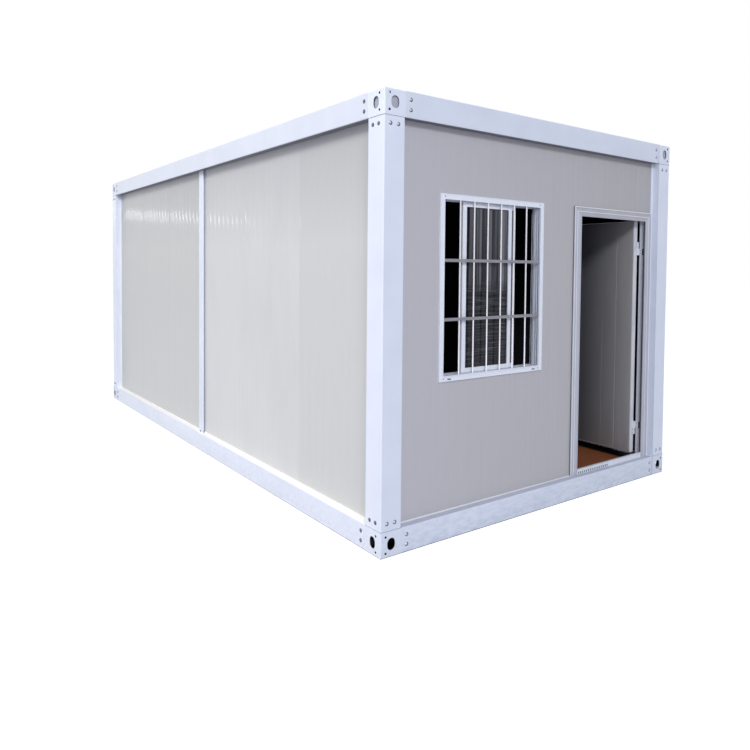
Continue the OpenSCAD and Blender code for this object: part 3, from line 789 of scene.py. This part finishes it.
def makeJoints():
    # sealant between castings, posts and rails, and a weld across the front base rail
    v = castingFill
    postLow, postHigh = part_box("post_front_left")
    x, y = postLow.x - v["jointProud"], postLow.y - v["jointProud"]
    sunk, tall, keep, wide = v["jointSunk"], v["jointTall"], v["jointKeep"], v["railJoint"]
    post = []
    for z in (postLow.z, postHigh.z - tall):
        post += [block("seal", (x, y, z), (x + cornerSize.x - keep, y + sunk, z + tall), v["jointRound"]),
                 block("seal", (x, y, z), (x + sunk, y + cornerSize.y - keep, z + tall), v["jointRound"])]
    finished(mirrored(joined("postJointSeal", post), "xy"), gapSeal, "shell")
    for name, foot, look in (("baseJointSeal", 0, greySeal), ("roofJointSeal", railFoot, paleSeal)):
        z0, z1 = foot + v["railKeep"], foot + cornerSize.z - v["railKeep"]
        rail = [block("seal", (cornerHigh.x, y, z0), (cornerHigh.x + wide, postLow.y + sunk, z1)),
                block("seal", (x, cornerHigh.y, z0), (postLow.x + sunk, cornerHigh.y + wide, z1))]
        finished(mirrored(joined(name, rail), "xy"), look, "shell")
    side, across, foot, top = v["weld"]
    weld = block("railWeldBead", (low.x + side, y, foot),
                 (low.x + side + across, postLow.y + v["weldSunk"], top), v["jointRound"])
    finished(weld, beadEnamel, "shell")
    print("casting plates and joints made")


makeCastingPlates()
makeJoints()

dividerFill = {"bead": 0.007, "round": 0.002, "drain": (0.010, 0.012, 0.007), "drainRound": 0.001}


def makeDividerSeals():
    # sealant down both sides of each divider, its dark grey also standing in as painted shade on the
    # divider's sides, and the drain marks at its foot
    v = dividerFill
    beads, drains = [], []
    for name, side in (("left_divider", -1), ("right_divider", 1)):
        a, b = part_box(name)
        back, face = (b.x, a.x) if side < 0 else (a.x, b.x)
        for y, out in ((a.y, -1), (b.y, 1)):
            beads.append(block("bead", (back, y, a.z), (back + side * v["bead"], y + out * v["bead"], b.z),
                               v["round"]))
        deep, wide, tall = v["drain"]
        for x, y in ((face + side * deep / 2, (a.y + b.y) / 2),
                     (back + side * (v["bead"] + deep / 2), a.y - wide / 2)):
            drains.append(block("drain", (x - deep / 2, y - wide / 2, a.z),
                                (x + deep / 2, y + wide / 2, a.z + tall), v["drainRound"]))
    finished(joined("dividerSeals", beads), greySeal, "shell")
    finished(joined("dividerDrains", drains), gapSeal, "shell")
    print("divider seals made")


makeDividerSeals()


def ringBead(name, a, b, width, height, y):
    # a mitred bead round an upright rectangle that faces -y, lying on the plane y
    bpy.ops.object.select_all(action="DESELECT")
    bpy.ops.mesh.primitive_plane_add(size=1, location=((a[0] + b[0]) / 2, y, (a[1] + b[1]) / 2),
        rotation=(math.pi / 2, 0, 0))
    bead = bpy.context.object
    bead.name = bead.data.name = name
    bead.scale = (b[0] - a[0], b[1] - a[1], 1)
    settle(bead)
    startEdit(bead)
    bpy.ops.mesh.select_all(action="SELECT")
    bpy.ops.mesh.inset(thickness=width)
    bpy.ops.mesh.delete(type="FACE")
    bpy.ops.mesh.select_all(action="SELECT")
    bpy.ops.mesh.extrude_region_move(TRANSFORM_OT_translate={"value": (0, -height, 0)})
    endEdit()
    recalculate(bead)
    rounding = 0.35    # of the bead's smaller side
    return soften(bead, min(width, height) * rounding)


windowTrim = {"outer": 0.005, "outerHigh": 0.0022, "inner": 0.007, "innerHigh": 0.003, "face": 0.036,
              "screw": 0.0035, "screwHigh": 0.0008, "screwRim": 0.45, "screwSunk": 0.0005, "screwIn": 0.038,
              "screwUp": 0.017, "slotFrom": 0.072, "slotLong": 0.032, "slotHigh": 0.008, "slotUp": 0.010,
              "slotRound": 0.45, "slotProud": 0.0006, "slotSunk": 0.001, "fin": 0.0025, "finHigh": 0.005,
              "finRound": 0.0006, "finGap": 0.002, "finsBehind": (0.024, 0.0505, 0.075)}


def makeWindowTrim():
    v = windowTrim
    a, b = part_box("window_frame")
    face = v["face"]
    beads = [ringBead("bead", (a.x, a.z), (b.x, b.z), v["outer"], v["outerHigh"], a.y),
             ringBead("bead", (a.x + face - v["inner"], a.z + face - v["inner"]),
                      (b.x - face + v["inner"], b.z - face + v["inner"]), v["inner"], v["innerHigh"], a.y)]
    finished(joined("windowTrimBeads", beads), windowPvc, "shell")

    screw = sunken(disc("screw", v["screw"], v["screwHigh"], 12), v["screw"] * v["screwRim"], v["screwSunk"])
    spots = [(x, z) for x in (a.x + v["screwIn"], b.x - v["screwIn"])
             for z in (a.z + v["screwUp"], b.z - v["screwUp"])]
    screws = [copied(screw, facingOut(x, a.y, 0, -1, z)) for x, z in spots]
    bpy.data.objects.remove(screw)
    finished(joined("windowTrimScrews", screws), screwBlack, "shell")

    slotLeft = a.x + v["slotFrom"]
    slots = []
    for x in (slotLeft, a.x + b.x - slotLeft - v["slotLong"]):
        hole = block("slot", (x, a.y - v["slotProud"], a.z + v["slotUp"]),
                     (x + v["slotLong"], a.y + v["slotSunk"], a.z + v["slotUp"] + v["slotHigh"]))
        startEdit(hole)
        pick(hole, "edges", lambda e: abs((e.verts[0].co - e.verts[1].co).y) > v["slotProud"])
        bpy.ops.mesh.bevel(offset=v["slotHigh"] * v["slotRound"], segments=4)
        endEdit()
        slots.append(hole)
    finished(joined("windowDrainSlots", slots), screwBlack, "shell")
    print("window trim made")


def makeWindowTracks():
    # running fins of the sliding sashes, on the sill, the head and both jambs where they show
    v = windowTrim
    a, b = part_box("window_frame")
    s0, s1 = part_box("window_sashes")
    x0, x1 = a.x + v["face"], b.x - v["face"]
    z0, z1 = a.z + v["face"], b.z - v["face"]
    fins = []
    for i, behind in enumerate(v["finsBehind"]):
        y = a.y + behind
        # the middle fins stop short of the sashes, which run over them
        middle = i == 1
        stretches = [(x0, s0.x - v["finGap"]), (s1.x + v["finGap"], x1)] if middle else [(x0, x1)]
        spans = [((left, z), (right, z + up * v["finHigh"])) for left, right in stretches
                 for z, up in ((z0, 1), (z1, -1))]
        spans += [((x, z0), (x + side * v["finHigh"], z1)) for x, side in ((x0, 1), (x1, -1))]
        fins += [block("fin", (p[0], y, p[1]), (q[0], y + v["fin"], q[1]), v["finRound"]) for p, q in spans]
    finished(joined("windowTrackFins", fins), trackPvc, "shell")
    print("window tracks made")


makeWindowTrim()
makeWindowTracks()

sashBeads = {"width": 0.006, "lap": 0.003, "high": 0.003, "gasket": 0.003, "step": 0.059,
             "sashBehind": 0.0225, "brush": (0.037, 0.021, 0.0015), "brushRound": 0.0004, "keepOff": 0.03,
             "lift": 0.0005, "gasketHigh": 0.0025}


def makeSashBeads():
    # glazing beads round the pane, the black gasket inside them and the brush seal where the sashes overlap,
    # black also as painted shade in the gap between the sashes
    v = sashBeads
    g0, g1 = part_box("window_glass")
    s0, s1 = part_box("window_sashes")
    paneEnd = g1.x - v["step"]
    rim = v["width"] - v["lap"]
    bead = ringBead("sashGlazingBeads", (g0.x - rim, g0.z - rim), (paneEnd + rim, g1.z + rim), v["width"],
                    v["high"], s0.y + v["lift"])
    finished(bead, windowPvc, "shell")
    inner = v["lap"]
    seal = ringBead("sashGaskets", (g0.x + inner, g0.z + inner), (paneEnd - inner, g1.z - inner), v["gasket"],
                    v["gasketHigh"], g0.y)
    finished(seal, screwBlack, "shell")
    start, end, thick = v["brush"]
    y = s0.y + v["sashBehind"]
    brush = block("sashBrushSeal", (s1.x - start, y - thick, s0.z + v["keepOff"]),
                  (s1.x - end, y, s1.z - v["keepOff"]), v["brushRound"])
    finished(brush, screwBlack, "shell")
    print("sash beads made")


makeSashBeads()

sillTicks = {"first": 0.411, "pitch": 0.024, "count": 16, "wide": 0.007, "lean": 0.006, "foot": 0.002,
             "top": 0.018, "proud": 0.0006, "sunk": 0.004}


def makeSillTicks():
    # pressed drain ticks along the sill's lower lip, counted from the house's middle
    v = sillTicks
    a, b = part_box("door_sill")
    tick = block("tick", (0, a.y - v["proud"], a.z + v["foot"]), (v["wide"], a.y + v["sunk"], a.z + v["top"]))
    startEdit(tick)
    pick(tick, "verts", lambda p: p.co.z > a.z + v["top"] / 2)
    bpy.ops.transform.translate(value=(v["lean"], 0, 0))
    endEdit()
    ticks = [copied(tick, Matrix.Translation((v["first"] + i * v["pitch"], 0, 0))) for i in range(v["count"])]
    bpy.data.objects.remove(tick)
    finished(joined("sillTicks", ticks), greySeal, "shell")
    print("sill ticks made")


makeSillTicks()

# each seam: how far from the hinge side, how far below the top it starts, how much of the skin it is pressed
# in
doorSkin = {"thick": 0.0024, "inset": 0.006, "seams": ((0.162, 0.18, 0.9), (0.298, 0.85, 0.75)),
            "seamHalf": 0.0035, "angle": 5}


def makeLeafSkins():
    # pressed steel skins on both faces of the leaf, with upright seams
    v = doorSkin
    a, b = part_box("door_leaf")
    for name, x, out in (("leafOuterSkin", a.x, -1), ("leafInnerSkin", b.x, 1)):
        outer, inset = x + out * v["thick"], v["inset"]
        skin = block(name, (x, a.y + inset, a.z + inset), (outer, b.y - inset, b.z - inset))
        startEdit(skin)
        for seam, down, deep in v["seams"]:
            middle = a.y + seam
            cutAcross("y", (middle - v["seamHalf"], middle, middle + v["seamHalf"]))
            cutAcross("z", (b.z - down,))
        for seam, down, deep in v["seams"]:
            pick(skin, "verts", lambda p: abs(p.co.x - outer) < touching and p.co.z < b.z - down + touching
                 and abs(p.co.y - a.y - seam) < touching)
            bpy.ops.transform.translate(value=(-out * v["thick"] * deep, 0, 0))
        endEdit()
        finished(skin, leafSkin, "door", v["angle"])
    print("leaf skins made")


makeLeafSkins()

doorTrim = {"outer": 0.007, "outerHigh": 0.0012, "line": 0.0045, "lineIn": 0.034, "lineHigh": 0.0015,
            "faceBack": 0.003, "sillHigh": 0.005, "sillRound": 0.0008}


def makeDoorTrim():
    # white edge and pressed line round the door frame, and an edge strip on its sill
    v = doorTrim
    a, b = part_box("door_frame_left")[0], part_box("door_frame_right")[1]
    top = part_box("door_frame_head")[1].z
    beads = [ringBead("bead", (a.x, 0), (b.x, top), v["outer"], v["outerHigh"], a.y),
             ringBead("bead", (a.x + v["lineIn"], 0), (b.x - v["lineIn"], top - v["lineIn"]), v["line"],
                      v["lineHigh"], a.y + v["faceBack"])]
    rings = cutAway(joined("doorFrameBeads", beads),
                    block("cutter", (-2, low.y - 1, -1), (2, low.y + 1, a.z)))
    finished(rings, beadEnamel, "shell")
    sillLow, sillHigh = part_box("door_sill")
    edge = block("doorSillEdge", (sillLow.x, sillLow.y, sillHigh.z - v["sillHigh"]),
                 (sillHigh.x, sillLow.y + v["faceBack"], sillHigh.z), v["sillRound"])
    finished(edge, beadEnamel, "shell")
    print("door trim made")


makeDoorTrim()

hingeFill = {"height": 0.110, "half": 0.0547, "screw": 0.0036, "head": 0.0008, "rows": (0.014, 0.041),
             "pocketDeep": 0.019, "pocketBehind": 0.0205, "pocketThick": 0.0008, "plate": 0.0025,
             "plateMiddle": 0.022, "pocketSunk": 0.001, "pocketRound": 0.0003, "pin": (1.2535, -2.9005),
             "pinToRebate": 0.0055}


def makeHingeDetails():
    # screws on every hinge plate and the dark cut-outs beside the plates on the frame
    v = hingeFill
    screw = disc("screw", v["screw"], v["head"], 12)
    framePlates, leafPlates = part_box("frame_hinges"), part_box("leaf_hinges")
    pin = Vector(v["pin"])
    rebate = pin.x + v["pinToRebate"]
    frameZ = (framePlates[0].z + v["height"] - v["half"], framePlates[1].z - v["height"])
    leafZ = (leafPlates[0].z, leafPlates[1].z - v["half"])
    pockets = [block("pocket", (rebate - v["pocketThick"], frameFront + v["pocketBehind"], z),
                     (rebate + v["pocketSunk"], frameFront + v["pocketBehind"] + v["pocketDeep"],
                      z + v["half"]), v["pocketRound"]) for z in frameZ]
    finished(joined("hingePockets", pockets), screwBlack, "shell")
    heads = [copied(screw, facingOut(rebate - v["plate"], pin.y - v["plateMiddle"], -1, 0, z + row))
             for z in frameZ for row in v["rows"]]
    finished(joined("frameHingeScrews", heads), dullZinc, "shell")
    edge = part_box("door_leaf")[0].y - v["plate"]
    heads = [copied(screw, facingOut(pin.x - v["plateMiddle"], edge, 0, -1, z + row))
             for z in leafZ for row in v["rows"]]
    finished(joined("leafHingeScrews", heads), dullZinc, "door")
    bpy.data.objects.remove(screw)
    print("hinge screws made")


makeHingeDetails()

lockFill = {"in": 0.060, "plate": 0.006, "barrel": 0.0085, "barrelOut": 0.004, "barrelZ": 0.988,
            "keyRim": 0.25, "key": 0.0012, "edge": 0.4, "screw": 0.004, "screwZ": (0.926, 1.121),
            "rose": 0.016, "roseOut": 0.003, "spindleZ": 1.060}


def makeLockDetails():
    # lock barrel with its keyway, plate screws and a rose round the lever's neck, on both sides of the leaf
    v = lockFill
    a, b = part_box("door_leaf")
    y = b.y - v["in"]
    barrel = sunken(disc("barrel", v["barrel"], v["barrelOut"], 20), v["barrel"] * v["keyRim"], v["key"])
    screw = soften(disc("screw", v["screw"], v["key"], 12), v["key"] * v["edge"], 1)
    rose = soften(disc("rose", v["rose"], v["roseOut"], 28), v["roseOut"] * v["edge"])
    bright, dark = [], []
    for x, side in ((a.x - v["plate"], -1), (b.x + v["plate"], 1)):
        bright += [copied(barrel, facingOut(x, y, side, 0, v["barrelZ"])),
                   copied(rose, facingOut(x, y, side, 0, v["spindleZ"]))]
        dark += [copied(screw, facingOut(x, y, side, 0, z)) for z in v["screwZ"]]
    for first in (barrel, screw, rose):
        bpy.data.objects.remove(first)
    finished(joined("lockBarrels", bright), satinSteel, "door")
    finished(joined("handleScrews", dark), dullZinc, "door")
    print("lock details made")


makeLockDetails()

roofFill = {"ribPitch": 0.2, "ribFoot": 0.064, "ribHigh": 0.027, "columns": 5, "fromEdge": 0.12,
            "head": 0.0055, "headHigh": 0.005, "headRound": 0.0008, "washer": 0.010, "washerHigh": 0.0015,
            "washerRound": 0.0004, "seal": 0.012, "sealHigh": 0.008, "sealShort": 0.01, "sealRound": 0.003}


def makeRoofDetails():
    # hexagon screws with rubber washers along every rib of the roof sheet, and sealant round the sheet
    v = roofFill
    a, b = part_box("roof_sheet")
    run = b.y - a.y
    ribs = int((run - v["ribFoot"]) / v["ribPitch"])
    first = (a.y + b.y - (ribs - 1) * v["ribPitch"]) / 2
    head = soften(disc("head", v["head"], v["headHigh"], 6), v["headRound"], 1)
    rubber = soften(disc("rubber", v["washer"], v["washerHigh"], 16), v["washerRound"], 1)
    heads, washers = [], []
    for i in range(ribs):
        for k in range(v["columns"]):
            x = a.x + v["fromEdge"] + k * (b.x - a.x - 2 * v["fromEdge"]) / (v["columns"] - 1)
            place = Matrix.Translation((x, first + i * v["ribPitch"], b.z))
            washers.append(copied(rubber, place))
            heads.append(copied(head, place @ Matrix.Translation((0, 0, v["washerHigh"]))))
    for single in (head, rubber):
        bpy.data.objects.remove(single)
    finished(joined("roofScrews", heads), platedZinc, "shell")
    finished(joined("roofWashers", washers), gapSeal, "shell")
    foot = b.z - v["ribHigh"]
    wide, top, end = v["seal"], foot + v["sealHigh"], cornerSize.x
    short = end + v["sealShort"]
    strips = [block("seal", (x, low.y + short, foot), (x + wide, high.y - short, top), v["sealRound"])
              for x in (a.x, b.x - wide)]
    strips += [block("seal", (low.x + end, y, foot), (high.x - end, y + wide, top), v["sealRound"])
               for y in (a.y, b.y - wide)]
    finished(joined("roofEdgeSeal", strips), greySeal, "shell")
    print("roof screws made:", len(heads))


makeRoofDetails()

cameraPlace = {"place": (-3.7895, -6.2207, 1.7393), "yaw": 0.65066, "pitch": -0.03412, "roll": 0.01005,
               "lens": 32.124, "sensor": 36, "shift": (-0.03579, -0.11175), "far": 200}


def setCamera():
    v = cameraPlace
    data = bpy.data.cameras.new("camera")
    camera = bpy.data.objects.new("camera", data)
    bpy.context.scene.collection.objects.link(camera)
    camera.matrix_world = (Matrix.Translation(v["place"]) @ Matrix.Rotation(-v["yaw"], 4, "Z")
                           @ Matrix.Rotation(math.pi / 2 + v["pitch"], 4, "X")
                           @ Matrix.Rotation(v["roll"], 4, "Z"))
    data.sensor_width = v["sensor"]
    data.lens = v["lens"]
    data.shift_x, data.shift_y = v["shift"]
    data.clip_end = v["far"]
    bpy.context.scene.camera = camera


studio = {"sky": "#dfe9fb", "skyLight": 0.5, "floor": "#b5b6bc", "floorPatch": "#b9bac0",
          "floorPatchSize": 900, "floorSize": 120, "floorDrop": 0.0005, "floorGlow": 0.8,
          "lamps": (("frontLamp", (-6, -15, 9.8), (0, -3, 1.3), (3.6, 3), 925, (0.93, 0.97, 1.05), 0),
                    ("sideLamp", (-11.5, -1.9, 13.5), (-1.5, -1.5, 1.0), (2.2, 5), 1470, (1.0, 0.985, 0.965),
                     0), ("stripLamp", (-5.09, 13.07, 3.135), (-1.45, 1.4, 2.28), (2.37, 0.1), 9, (1, 1, 1),
                          -0.112))}


def seenDirectly(tree):
    # 1 for rays that show the background: straight from the camera, mirrored or through glass
    path = addNode(tree, "ShaderNodeLightPath").outputs
    either = maths(tree, "MAXIMUM", path["Is Camera Ray"], path["Is Glossy Ray"])
    return maths(tree, "MAXIMUM", either, path["Is Transmission Ray"])


def setWorld():
    v = studio
    world = bpy.data.worlds.new("studioSky")
    bpy.context.scene.world = world
    world.use_nodes = True
    tree = world.node_tree
    tree.nodes.clear()
    light = addNode(tree, "ShaderNodeBackground", {"Color": linear(v["sky"]),
            "Strength": v["skyLight"]}).outputs[0]
    white = addNode(tree, "ShaderNodeBackground", {"Color": (1, 1, 1, 1), "Strength": 1.0}).outputs[0]
    mix = addNode(tree, "ShaderNodeMixShader", {0: seenDirectly(tree), 1: light, 2: white}).outputs[0]
    addNode(tree, "ShaderNodeOutputWorld", {"Surface": mix})


def setFloor():
    # pale floor: mid grey for the light it throws back, white where it is seen, with the shadow kept
    v = studio
    bpy.ops.object.select_all(action="DESELECT")
    bpy.ops.mesh.primitive_plane_add(size=v["floorSize"], location=(0, 0, -v["floorDrop"]))
    ground = bpy.context.object
    ground.name = "studioFloor"
    material, tree, shader, place = newMaterial("mattFloorPaint")
    patches = noise(tree, place, [v["floorPatchSize"]] * 3)
    tree.links.new(blended(tree, patches, linear(v["floor"]), linear(v["floorPatch"])),
                   shader.inputs["Base Color"])
    shader.inputs["Roughness"].default_value = 0.9
    shader.inputs["Specular IOR Level"].default_value = 0.1
    shader.inputs["Emission Color"].default_value = (1, 1, 1, 1)
    tree.links.new(maths(tree, "MULTIPLY", seenDirectly(tree), v["floorGlow"]),
                   shader.inputs["Emission Strength"])
    ground.data.materials.append(material)


def addLamp(name, place, target, size, power, colour, roll):
    data = bpy.data.lights.new(name, "AREA")
    data.shape = "RECTANGLE"
    data.size, data.size_y = size
    data.energy = power
    data.color = colour
    lamp = bpy.data.objects.new(name, data)
    bpy.context.scene.collection.objects.link(lamp)
    aim = (Vector(target) - Vector(place)).to_track_quat("-Z", "Y").to_matrix().to_4x4()
    lamp.matrix_world = Matrix.Translation(place) @ aim @ Matrix.Rotation(roll, 4, "Z")


setCamera()
setWorld()
setFloor()
for lamp in studio["lamps"]:
    addLamp(*lamp)
bpy.context.scene.view_settings.view_transform = "Standard"
print("camera and studio set")
